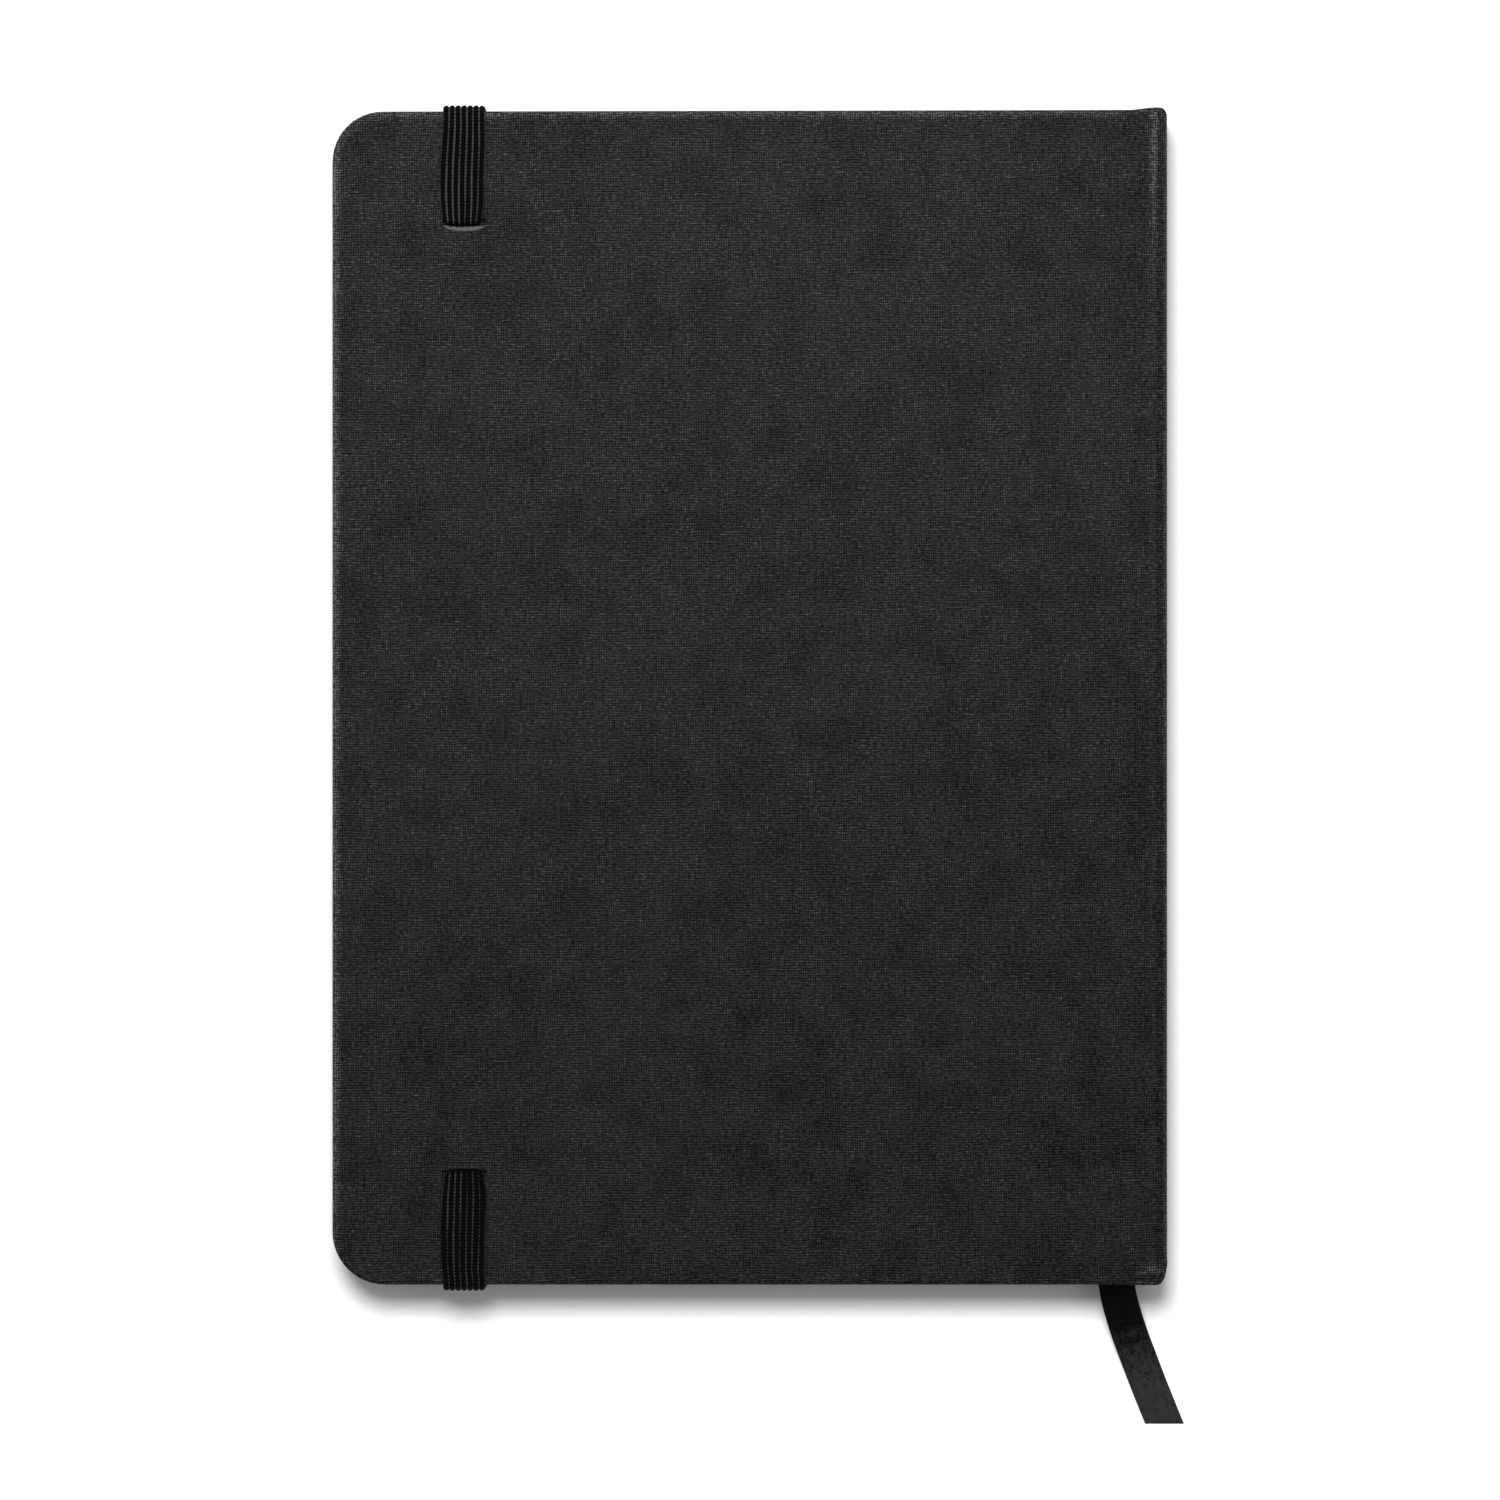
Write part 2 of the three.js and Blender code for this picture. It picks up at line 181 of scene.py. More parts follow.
class Material:
    """A node material on one Principled shader, fed by textures in object space or in a strip's UV."""

    def __init__(self, name, roughness, sheen=0.0, specular=0.5):
        self.data = bpy.data.materials.new(name)
        self.data.use_nodes = True
        self.nodes = self.data.node_tree.nodes
        self.shader = self.nodes["Principled BSDF"]
        self.shader.inputs["Roughness"].default_value = roughness
        self.shader.inputs["Sheen Weight"].default_value = sheen
        self.shader.inputs["Specular IOR Level"].default_value = specular
        self.place = self.nodes.new("ShaderNodeTexCoord").outputs["Object"]

    def link(self, source, target):
        self.data.node_tree.links.new(source, target)

    def along(self, axis, place=None):
        node = self.nodes.new("ShaderNodeSeparateXYZ")
        self.link(place or self.place, node.inputs["Vector"])
        return node.outputs[axis]

    def strip_place(self):
        node = self.nodes.new("ShaderNodeUVMap")
        node.uv_map = "strip"
        return node.outputs["UV"]

    def noise(self, scale, detail=3.0, roughness=0.55, place=None):
        """Noise with its own number of features per metre (or per UV unit) along each axis."""
        mapping = self.nodes.new("ShaderNodeMapping")
        mapping.inputs["Scale"].default_value = scale
        self.link(place or self.place, mapping.inputs["Vector"])
        node = self.nodes.new("ShaderNodeTexNoise")
        node.inputs["Scale"].default_value = 1.0
        node.inputs["Detail"].default_value = detail
        node.inputs["Roughness"].default_value = roughness
        self.link(mapping.outputs["Vector"], node.inputs["Vector"])
        return node.outputs["Fac"]

    def wave(self, scale, direction="X", distortion=0.0, place=None):
        node = self.nodes.new("ShaderNodeTexWave")
        node.bands_direction = direction
        node.inputs["Scale"].default_value = scale
        node.inputs["Distortion"].default_value = distortion
        node.inputs["Detail"].default_value = 2.0
        self.link(place or self.place, node.inputs["Vector"])
        return node.outputs["Fac"]

    def math(self, operation, a, b):
        node = self.nodes.new("ShaderNodeMath")
        node.operation = operation
        for socket, value in zip(node.inputs, (a, b)):
            if isinstance(value, (int, float)):
                socket.default_value = value
            else:
                self.link(value, socket)
        return node.outputs["Value"]

    def spread(self, value, low, high, out_low, out_high):
        node = self.nodes.new("ShaderNodeMapRange")
        node.interpolation_type = "SMOOTHSTEP"
        for key, number in (("From Min", low), ("From Max", high), ("To Min", out_low), ("To Max", out_high)):
            node.inputs[key].default_value = number
        self.link(value, node.inputs["Value"])
        return node.outputs["Result"]

    def threads(self, pitch_mm, direction, scale, bend):
        """Parallel threads about a middle level, bent a little, whose strength comes and goes along them."""
        shift = self.nodes.new("ShaderNodeVectorMath")
        shift.operation = "MULTIPLY_ADD"
        self.link(bend, shift.inputs[0])
        shift.inputs[1].default_value = (0.0008, 0.0008, 0.0008)
        self.link(self.place, shift.inputs[2])
        bands = self.wave(BAND_SCALE / (pitch_mm * MM), direction, place=shift.outputs["Vector"])
        strength = self.spread(self.noise(scale, detail=2), 0.36, 0.64, 0.2, 1.0)
        return self.math("MULTIPLY", self.math("SUBTRACT", bands, 0.5), strength)

    def colour(self, value, dark, light, bright=None):
        node = self.nodes.new("ShaderNodeValToRGB")
        node.color_ramp.elements[0].position = 0.25
        node.color_ramp.elements[1].position = 0.75
        node.color_ramp.elements[0].color = (*dark, 1)
        node.color_ramp.elements[1].color = (*light, 1)
        if bright:
            node.color_ramp.elements[0].position = 0.0
            node.color_ramp.elements[1].position = 0.6
            node.color_ramp.elements.new(1.0).color = (*bright, 1)
        self.link(value, node.inputs["Fac"])
        self.link(node.outputs["Color"], self.shader.inputs["Base Color"])

    def roughness(self, value, low, high):
        self.link(self.spread(value, 0.3, 0.7, low, high), self.shader.inputs["Roughness"])

    def bump(self, height, distance_mm, strength=1.0):
        node = self.nodes.new("ShaderNodeBump")
        node.inputs["Strength"].default_value = strength
        node.inputs["Distance"].default_value = distance_mm * MM
        self.link(height, node.inputs["Height"])
        self.link(node.outputs["Normal"], self.shader.inputs["Normal"])


# ---- materials ------------------------------------------------------------------------------
def linen_cover():
    """Near-black coated paper, embossed with an uneven linen weave, lighter along its edges from rubbed wear
    and painted highlights, and with painted light brighter towards the head.
    """
    m = Material("linen_cover", roughness=0.6, specular=0.05)
    bend = m.noise((150, 150, 150), detail=2)
    weft = m.threads(0.46, "Y", (520, 1800, 1800), bend)
    warp = m.threads(0.42, "X", (1800, 460, 1800), bend)
    sides = m.threads(0.46, "Z", (520, 520, 1800), bend)
    grain = m.math("SUBTRACT", m.noise((1500, 2300, 1900), detail=2), 0.5)
    mottle = m.noise((24, 30, 24), detail=4, roughness=0.6)
    weave = m.math("ADD", m.math("MULTIPLY", weft, 0.7), m.math("MULTIPLY", warp, 0.55))
    weave = m.math("ADD", weave, m.math("MULTIPLY", sides, 0.2))
    weave = m.math("ADD", weave, m.math("MULTIPLY", grain, 1.6))
    m.bump(weave, distance_mm=0.08, strength=0.8)
    # The per-point attribute lightens the cover: rubbed wear and painted highlights together.
    wear_and_highlight = m.nodes.new("ShaderNodeAttribute")
    wear_and_highlight.attribute_name = "wear_and_highlight"
    tone = m.math("ADD", m.math("MULTIPLY", weave, 0.85), m.math("MULTIPLY", mottle, 0.05))
    # painted light: the cover is painted lighter towards the head, nearer the key light
    tone = m.math("ADD", tone, m.spread(m.along("Y"), -HEAD_Y * MM, HEAD_Y * MM, 0.17, 0.29))
    gain = m.math("ADD", m.math("MULTIPLY", weave, 0.7), 0.7)
    tone = m.math("ADD", tone, m.math("MULTIPLY", wear_and_highlight.outputs["Fac"], gain))
    m.colour(tone, (0.0005, 0.0005, 0.0006), (0.0248, 0.0248, 0.0257), bright=(0.105, 0.105, 0.108))
    m.roughness(mottle, 0.55, 0.7)
    return m.data


def ribbed_elastic():
    """Black knitted elastic: beads of yarn along each rib, painted shade in the grooves between the ribs, and
    painted light brighter towards the head.
    """
    m = Material("ribbed_elastic", roughness=0.8, specular=0.06)
    place = m.strip_place()
    ribs = m.wave(BAND_SCALE / (ELASTIC_W / RIB_COUNT), "X", distortion=0.3, place=place)
    beads = m.wave(BAND_SCALE / 0.6, "Y", distortion=3.2, place=place)
    fibres = m.noise((4, 1.3, 1), detail=3, place=place)
    uneven = m.spread(m.noise((0.8, 0.05, 1), detail=1, place=place), 0.35, 0.65, 0.65, 1.15)
    height = m.math("ADD", m.math("MULTIPLY", beads, 0.55), m.math("MULTIPLY", fibres, 0.6))
    m.bump(height, distance_mm=0.18, strength=0.9)
    yarn = m.math("ADD", m.math("MULTIPLY", beads, 0.45), m.math("MULTIPLY", fibres, 0.9))
    # painted shade: the grooves between the ribs are painted black
    tone = m.math("MULTIPLY", yarn, m.spread(ribs, 0.5, 1.0, 0.0, 1.0))
    tone = m.math("MULTIPLY", tone, uneven)
    # painted light: the straps are painted lighter towards the head, nearer the key light
    tone = m.math("MULTIPLY", tone, m.spread(m.along("Y"), -HEAD_Y * MM, HEAD_Y * MM, 0.7, 1.08))
    m.colour(tone, (0.0003, 0.0003, 0.0004), (0.05, 0.05, 0.051))
    return m.data


def satin_ribbon():
    """Near-black satin ribbon with fine lengthwise yarns, cloudy sheen and woven picks, darkened by a painted
    shadow where it leaves the book.
    """
    m = Material("satin_ribbon", roughness=0.5, specular=0.06)
    place = m.strip_place()
    yarns = m.noise((7, 1.2, 1), detail=3, place=place)
    clouds = m.noise((0.9, 0.6, 1), detail=5, roughness=0.65, place=place)
    picks = m.wave(BAND_SCALE / 0.4, "Y", distortion=0.8, place=place)
    height = m.math("ADD", m.math("MULTIPLY", yarns, 0.7), m.math("MULTIPLY", picks, 0.4))
    m.bump(height, distance_mm=0.08, strength=0.7)
    tone = m.math("ADD", m.math("MULTIPLY", yarns, 0.6), m.math("MULTIPLY", clouds, 0.6))
    # painted shadow: the ribbon is darkest where it leaves the book, in the book's shadow, and lightens along
    # its length
    painted_book_shadow = m.spread(m.along("Y", place), RIBBON_FREE, RIBBON_FREE + 25, 0.15, 1.4)
    tone = m.math("MULTIPLY", m.spread(tone, 0.35, 0.85, 0.1, 1.0), painted_book_shadow)
    m.colour(tone, (0.0004, 0.0004, 0.0005), (0.022, 0.022, 0.023))
    m.roughness(clouds, 0.45, 0.65)
    return m.data


def page_paper(name, dark, light, lines):
    """Uncoated paper with fibres; lines gives the layers that show on cut edges, with painted shade in the
    gaps between the sheets.
    """
    m = Material(name, roughness=0.85, specular=0.25)
    fibres = m.noise((900, 900, 900), detail=4)
    clouds = m.noise((45, 45, 45), detail=3)
    tone = m.math("ADD", m.math("MULTIPLY", fibres, 0.35), m.math("MULTIPLY", clouds, 0.65))
    if lines:
        layers = m.noise((6, 6, 7600), detail=2)
        normal = m.nodes.new("ShaderNodeNewGeometry").outputs["Normal"]
        split = m.nodes.new("ShaderNodeSeparateXYZ")
        m.link(normal, split.inputs["Vector"])
        edge = m.math("SUBTRACT", 1.0, m.math("ABSOLUTE", split.outputs["Z"], 0))
        # painted shade: darker lines between the sheets on the cut edges
        dips = m.math("MULTIPLY", m.spread(layers, 0.42, 0.56, 1, 0), edge)
        tone = m.math("SUBTRACT", tone, m.math("MULTIPLY", dips, 0.42))
        m.bump(m.math("ADD", m.math("MULTIPLY", fibres, 0.1), m.math("MULTIPLY", dips, -1)), 0.05, 0.6)
    else:
        m.bump(fibres, distance_mm=0.02, strength=0.5)
    m.colour(tone, dark, light)
    return m.data


def grey_board():
    """Recycled board with flecks."""
    m = Material("grey_board", roughness=0.95, specular=0.2)
    flecks = m.noise((1300, 1300, 1300), detail=5, roughness=0.7)
    plies = m.noise((30, 30, 3200), detail=2)
    tone = m.math("ADD", m.math("MULTIPLY", flecks, 0.6), m.math("MULTIPLY", plies, 0.4))
    m.colour(tone, (0.16, 0.15, 0.135), (0.34, 0.325, 0.3))
    m.bump(flecks, distance_mm=0.05, strength=0.6)
    return m.data


def open_weave():
    """Mull: starched open cotton cloth."""
    m = Material("open_weave", roughness=0.95, sheen=0.1, specular=0.2)
    threads = m.math("MULTIPLY", m.wave(420, "Y", 0.8), m.wave(420, "Z", 0.8))
    m.colour(threads, (0.38, 0.35, 0.29), (0.74, 0.71, 0.63))
    m.bump(threads, distance_mm=0.12, strength=0.7)
    return m.data


def waxed_thread():
    """Twisted linen thread."""
    m = Material("waxed_thread", roughness=0.6, specular=0.4)
    twist = m.wave(700, "DIAGONAL", 0.5)
    m.colour(twist, (0.5, 0.47, 0.4), (0.8, 0.77, 0.7))
    m.bump(twist, distance_mm=0.06, strength=0.6)
    return m.data


def woven_band():
    """Headband: close silk stitches over a core."""
    m = Material("woven_band", roughness=0.6, sheen=0.15, specular=0.35)
    stitches = m.wave(560, "Z", 0.4)
    m.colour(stitches, (0.006, 0.006, 0.0065), (0.03, 0.03, 0.032))
    m.bump(stitches, distance_mm=0.08, strength=0.7)
    return m.data


def studio_floor():
    """Seamless pale sweep with the faintest tooth."""
    m = Material("studio_floor", roughness=0.9, specular=0.1)
    tooth = m.noise((300, 300, 300), detail=2)
    m.colour(tooth, (0.90, 0.90, 0.90), (0.93, 0.93, 0.93))
    return m.data


COVER = linen_cover()
ELASTIC = ribbed_elastic()
RIBBON = satin_ribbon()
PAGES = page_paper("page_edges", (0.50, 0.46, 0.38), (0.83, 0.80, 0.72), lines=True)
LEAF = page_paper("leaf_paper", (0.76, 0.73, 0.65), (0.84, 0.81, 0.74), lines=False)
ENDPAPER = page_paper("endpaper", (0.70, 0.67, 0.58), (0.79, 0.76, 0.68), lines=False)
BOARD = grey_board()
MULL = open_weave()
THREAD = waxed_thread()
BAND = woven_band()


# ---- camera and light -----------------------------------------------------------------------
def add_camera():
    data = bpy.data.cameras.new("camera")
    data.sensor_width = SENSOR_W
    data.lens = SENSOR_W * CAMERA_HEIGHT / VIEW_W
    data.clip_end = 20
    camera = bpy.data.objects.new("camera", data)
    camera.location = (0, VIEW_OFFSET_Y * MM, (BACK_Z + CAMERA_HEIGHT) * MM)
    bpy.context.scene.collection.objects.link(camera)
    bpy.context.scene.camera = camera


def add_light(name, place, size, power):
    data = bpy.data.lights.new(name, "AREA")
    data.shape = "DISK"
    data.size = size
    data.energy = power
    light = bpy.data.objects.new(name, data)
    light.location = place
    light.rotation_euler = (-Vector(place)).to_track_quat("-Z", "Y").to_euler()
    bpy.context.scene.collection.objects.link(light)


def add_studio():
    half = 3000
    corners = [(-half, -half, 0), (half, -half, 0), (half, half, 0), (-half, half, 0)]
    floor = make_object("floor", corners, [(0, 1, 2, 3)], studio_floor(), smooth=False)
    add_light("key", (-0.1, 0.42, 1.45), size=0.5, power=25)
    add_light("fill", (0.7, 0.3, 1.6), size=1.2, power=3)
    bpy.context.scene.view_settings.view_transform = "Standard"
    world = bpy.data.worlds.new("studio")
    world.use_nodes = True
    world.node_tree.nodes["Background"].inputs["Color"].default_value = (1, 1, 1, 1)
    world.node_tree.nodes["Background"].inputs["Strength"].default_value = 0.3
    bpy.context.scene.world = world


# ---- ribbon marker --------------------------------------------------------------------------
RIBBON_Z = (box_mm("signature_3")[1][2] + box_mm("signature_4")[0][2]) / 2
PAGE_HEAD_Y = box_mm("signature_1")[1][1]


def in_block(from_spine, y):
    return (SPINE_X - from_spine, y, RIBBON_Z)


def past_tail(from_spine, past, height):
    return (SPINE_X - from_spine, -HEAD_Y - past, height * RIBBON_Z)


RIBBON_ROUTE = [
    in_block(7.15, PAGE_HEAD_Y - 1),
    in_block(8.15, 60),
    in_block(9.15, 10),
    in_block(9.75, -50),
    in_block(9.75, -88),
    in_block(9.5, 2 - PAGE_HEAD_Y),
    in_block(9.25, -1 - PAGE_HEAD_Y),
    past_tail(8.8, 0.4, 0.95),
    past_tail(8.25, 3.2, 0.79),
    past_tail(7.25, 6.6, 0.52),
    past_tail(5.95, 10.4, 0.27),
    past_tail(4.35, 14.6, 0.12),
    past_tail(2.5, 19.4, 0.046),
    past_tail(-0.2, 26.1, 0.019),
]
RIBBON_TURN = [
    (73.35, 72, RIBBON_Z, 90),
    (73.35, 96, RIBBON_Z, 90),
    (73.3, 102, RIBBON_Z, 90),
    (72.3, 103.9, RIBBON_Z, 90),
    (70.6, 104.3, RIBBON_Z, 90),
    (68.9, 103.9, RIBBON_Z, 84),
    (67.9, 102, RIBBON_Z, 60),
    (67.6, 98, RIBBON_Z, 12),
    (67.5, 94, RIBBON_Z, 0),
]


def catmull_rom(points, steps):
    """Points at even parameter steps on a smooth curve through all the given ones."""
    last = len(points) - 1
    line = []
    for i in range(last):
        p0, p1, p2, p3 = (Vector(points[min(max(k, 0), last)]) for k in (i - 1, i, i + 1, i + 2))
        for step in range(steps):
            t = step / steps
            bend = (2 * p0 - 5 * p1 + 4 * p2 - p3) * t * t + (3 * p1 - p0 - 3 * p2 + p3) * t**3
            line.append(0.5 * (2 * p1 + (p2 - p0) * t + bend))
    line.append(Vector(points[-1]))
    return line


def lengths_along(line):
    total = [0.0]
    for a, b in zip(line, line[1:]):
        total.append(total[-1] + (b - a).length)
    return total


def ribbon_strip(name, line, sides):
    """A thin woven strip along a line, with a slightly thicker selvedge on both sides."""
    share = [-1, -0.9, -0.82, -0.5, 0, 0.5, 0.82, 0.9, 1]
    thick = [0.7, 1.0, 0.8, 0.8, 0.8, 0.8, 0.8, 1.0, 0.7]
    across = [s * RIBBON_W / 2 for s in share]
    across = across + across[::-1]
    rings = []
    for i, (point, side) in enumerate(zip(line, sides)):
        way = (line[min(i + 1, len(line) - 1)] - line[max(i - 1, 0)]).normalized()
        up = side.cross(way).normalized()
        top = [point + side * (s * RIBBON_W / 2) + up * (t * RIBBON_T / 2) for s, t in zip(share, thick)]
        under = [point + side * (s * RIBBON_W / 2) - up * (t * RIBBON_T / 2) for s, t in zip(share, thick)]
        rings.append(top + under[::-1])
    points, faces = loft(rings, ring_closed=True)
    points = [(x, y, max(z, 0.0)) for x, y, z in points]
    strip = make_object(name, points, faces, RIBBON)
    add_strip_uv(strip, len(across), across, lengths_along(line))
    face_outward(strip)
    return strip


def add_ribbon():
    line = catmull_rom(RIBBON_ROUTE, 10)
    sides = []
    for i in range(len(line)):
        way = line[min(i + 1, len(line) - 1)] - line[max(i - 1, 0)]
        sides.append(Vector((-way.y, way.x, 0)).normalized())
    end_way = line[-1] - line[-2]
    level = Vector((1, 0, 0)) / abs(end_way.normalized().y)
    for back in range(1, 9):
        sides[-back] = sides[-back].lerp(level, (9 - back) / 8)
    ribbon = ribbon_strip("ribbon", line, sides)
    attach(ribbon, "page_block")
    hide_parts("ribbon_marker")

    route = catmull_rom([Vector(point[:3]) for point in RIBBON_TURN], 10)
    turns = catmull_rom([Vector((point[3], 0, 0)) for point in RIBBON_TURN], 10)
    sides = []
    for i, turn in enumerate(turns):
        way = (route[min(i + 1, len(route) - 1)] - route[max(i - 1, 0)]).normalized()
        level = Vector((-way.y, way.x, 0)).normalized()
        angle = math.radians(turn.x)
        sides.append(level * math.cos(angle) + Vector((0, 0, math.sin(angle))))
    turn = ribbon_strip("ribbon_turn", route, sides)
    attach(turn, "page_block")
    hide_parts("ribbon_anchor")


# ---- covers ---------------------------------------------------------------------------------
def cover_outline(inset, end_x):
    """The outline of a cover, drawn in by inset, as one closed ring of points."""
    half = HEAD_Y - inset
    low_x = FORE_X + inset
    high_x = end_x - inset
    corners = [
        (high_x, half + HEAD_RISE, SPINE_CORNER_R, 0),
        (low_x, half, CORNER_R, 90),
        (low_x, -half, WORN_CORNER_R, 180),
        (high_x, -half, SPINE_CORNER_R, 270),
    ]
    ring = []
    for x, y, radius, start in corners:
        r = max(radius - inset, 0.05)
        centre_x = x + (r if start in (90, 180) else -r)
        centre_y = y + (-r if start in (0, 90) else r)
        for step in range(13):
            angle = math.radians(start + 90 * step / 12)
            ring.append((centre_x + r * math.cos(angle), centre_y + r * math.sin(angle)))
    return with_edge_points(ring)


def with_edge_points(ring):
    """Adds points along the long straight stretches, so that light and bends run evenly."""
    full = []
    for a, b in zip(ring, ring[1:] + ring[:1]):
        full.append(a)
        span = math.dist(a, b)
        if span > 40:
            full.extend((ease(a[0], b[0], k / 24), ease(a[1], b[1], k / 24)) for k in range(1, 24))
    return full


def cover_profile():
    """Inset and depth below the outer face, from the face over the edge to the end of the turn-in."""
    profile = [(11, 0), (4, 0.012), (1.8, 0.035)]
    for step in range(9):
        angle = math.radians(90 * step / 8)
        profile.append((EDGE_R * (1 - math.sin(angle)), 0.04 + EDGE_R * (1 - math.cos(angle))))
    for step in range(9):
        angle = math.radians(90 - 90 * step / 8)
        profile.append((EDGE_R * (1 - math.sin(angle)), COVER_T - EDGE_R * (1 - math.cos(angle))))
    profile += [(4, COVER_T), (TURN_IN - 0.2, COVER_T), (TURN_IN, COVER_T - 0.2), (TURN_IN, COVER_T - 0.36)]
    return profile


def edge_waver(x, y):
    """The slight unevenness of hand-wrapped edges, in millimetres."""
    return 0.035 * math.sin(x * 0.21 + y * 0.13) + 0.02 * math.sin(x * 0.057 - y * 0.31 + 1.3)


def add_cover(name, body, cad_node, back):
    end_x = BOARD_END_X + 0.6
    rings = []
    wear_and_highlight = []
    for inset, depth in cover_profile():
        ring = []
        for x, y in cover_outline(inset, end_x):
            # Edges lighter all round, more at the fore edge and hardly at the tail: partly rubbed wear,
            # partly a painted highlight on edges facing the key light.
            outer_edge = 0 if x > end_x - 2 else ease(0.06, 0.42, smoothstep(-HEAD_Y, -HEAD_Y + 16, y))
            outer_edge += 0.25 * smoothstep(FORE_X + 1.5, FORE_X, x)
            wear_and_highlight.append(outer_edge * smoothstep(1.6, 0.35, inset) * smoothstep(COVER_T, 0.3, depth))
            lift = edge_waver(x, y) * smoothstep(11, 0, inset) * smoothstep(COVER_T, 0.2, depth)
            level = depth - lift * 0.6
            ring.append((x, y, BACK_Z - level if back else FRONT_Z + level))
        rings.append(ring)
    points, faces = loft(rings, ring_closed=True, caps=False)
    faces.append(tuple(range(len(rings[0]))))
    cover = make_object(name, points, faces, COVER)
    set_wear_and_highlight(cover, wear_and_highlight)
    face_outward(cover)
    if back:
        for sign in (1, -1):
            cut_slot(cover, sign)
    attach(cover, body)
    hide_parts(cad_node)
    return cover


def slot_outline(scale_x, scale_y, steps=8):
    """A narrow slot with rounded corners, as offsets from its centre."""
    radius = min(SLOT_HALF_L * scale_y, SLOT_HALF_W * scale_x) * 0.7
    ring = []
    for quarter in range(4):
        sx = 1 if quarter in (0, 3) else -1
        sy = 1 if quarter in (0, 1) else -1
        for step in range(steps + 1):
            angle = math.radians(90 * quarter + 90 * step / steps)
            x = sx * (SLOT_HALF_W * scale_x - radius) + radius * math.cos(angle)
            y = sy * (SLOT_HALF_L * scale_y - radius) + radius * math.sin(angle)
            ring.append((x, y))
    return ring


def cut_slot(cover, sign):
    """Cuts the strap's slot through the cover material on the outer face."""
    slot_y = sign * (HEAD_Y - SLOT_IN)
    outline = slot_outline(1, 1)
    rings = [[(ELASTIC_X + x, slot_y + y, z) for x, y in outline] for z in (BACK_Z - 1.2, BACK_Z + 2)]
    points, faces = loft(rings, ring_closed=True)
    cutter = make_object("slot_cutter", points, faces, COVER, smooth=False)
    face_outward(cutter)
    modifier = cover.modifiers.new("slot", "BOOLEAN")
    modifier.operation = "DIFFERENCE"
    modifier.solver = "EXACT"
    modifier.object = cutter
    baked = bpy.data.meshes.new_from_object(cover.evaluated_get(bpy.context.evaluated_depsgraph_get()))
    cover.modifiers.clear()
    cover.data = baked
    bpy.data.objects.remove(cutter)
    flatten_faces(cover)


def flatten_faces(cover):
    """The large flat face and the slots' walls are shaded flat; the rounded edges stay smooth."""
    for polygon in cover.data.polygons:
        from_middle = abs(polygon.center.y / MM)
        beside_slot = HEAD_Y - SLOT_IN - 2 < from_middle < HEAD_Y - 12
        inside = FORE_X + TURN_IN - 1 < polygon.center.x / MM < ELASTIC_X + 6
        slot_wall = abs(polygon.normal.z) < 0.3 and inside and beside_slot
        if abs(polygon.normal.z) > 0.9999 or slot_wall:
            polygon.use_smooth = False


def add_slot_rim(end, sign, rub_and_highlight):
    """A crescent of pressed-up cover material along the slot's side towards the middle of the cover."""
    edge_y = HEAD_Y - SLOT_IN - SLOT_HALF_L
    rings = []
    wear_and_highlight = []
    for k in range(41):
        share = 2 * k / 40 - 1
        full = math.sqrt(max(1 - share**2, 0.0004))
        wide, tall = 0.08 + 0.32 * full, 0.05 + 0.18 * full
        y = edge_y - 0.3 * full + 0.35 * share**2
        ring = []
        for step in range(16):
            angle = 2 * math.pi * step / 16
            ring.append((
                ELASTIC_X + share * SLOT_HALF_W,
                sign * (y + wide * math.cos(angle)),
                BACK_Z - 0.03 + tall * math.sin(angle),
            ))
        rings.append(ring)
        # painted highlight: the rim is painted lighter along its crest, by the amount passed in
        wear_and_highlight += [rub_and_highlight * full] * len(ring)
    points, faces = loft(rings, ring_closed=True)
    rim = make_object(f"slot_rim_{end}", points, faces, COVER)
    set_wear_and_highlight(rim, wear_and_highlight)
    face_outward(rim)
    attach(rim, "back_cover")


# ---- joints and spine -----------------------------------------------------------------------
def joint_profile():
    """X, depth and inward direction from under a cover's edge, over the joint, to the spine's middle."""
    flat = [(BOARD_END_X - 0.9, 0.5), (BOARD_END_X - 0.4, 0.3), (BOARD_END_X, 0.12)]
    flat += [(BOARD_END_X + 0.4, CREASE_DEPTH), (BOARD_END_X + 0.9, CREASE_DEPTH)]
    flat += [(BOARD_END_X + 1.4, 0.08), (BOARD_END_X + 1.9, 0.09)]
    flat += [(BOARD_END_X + 2.4, 0.05), (BOARD_END_X + 2.9, 0)]
    profile = [(x, depth, (0.0, 1.0)) for x, depth in flat]
    for step in range(15):
        angle = math.radians(90 * step / 14)
        x = SPINE_X - SPINE_R + SPINE_R * math.sin(angle)
        profile.append((x, SPINE_R * (1 - math.cos(angle)), (-math.sin(angle), math.cos(angle))))
    middle = (BACK_Z - FRONT_Z) / 2
    for step in range(1, 9):
        profile.append((SPINE_X, ease(SPINE_R, middle, step / 8), (-1.0, 0.0)))
    return profile


def joint_rows():
    """Distance from an end edge and inward offset of each row, from the turn-in round to the face."""
    turned = [(13, 0.9), (6, 0.9), (2, 0.9), (0.6, 0.86), (0.2, 0.7), (0.02, 0.42), (0.05, 0.2), (0.3, 0.03)]
    face = [(distance, 0) for distance in (0.7, 1.1, 1.5, 1.9, 2.4, 3, 3.8, 4.8, 6, 8, 12)]
    return turned + face


def rounded_end(x, across, along):
    """How far an end edge falls back where it rounds towards the spine's outer face."""
    share = min(max((x - SPINE_X + across) / across, 0), 1)
    return along * (1 - math.sqrt(1 - share**2))


def head_extent(x):
    rise = ease(HEAD_RISE, HEAD_CAP, smoothstep(BOARD_END_X - 1, SPINE_X - 2, x))
    return HEAD_Y + rise - rounded_end(x, *HEAD_ROUND)


def tail_extent(x):
    return HEAD_Y + 0.1 - rounded_end(x, *TAIL_ROUND)


def ridge(distance, width):
    return math.exp(-((distance / width) ** 2))


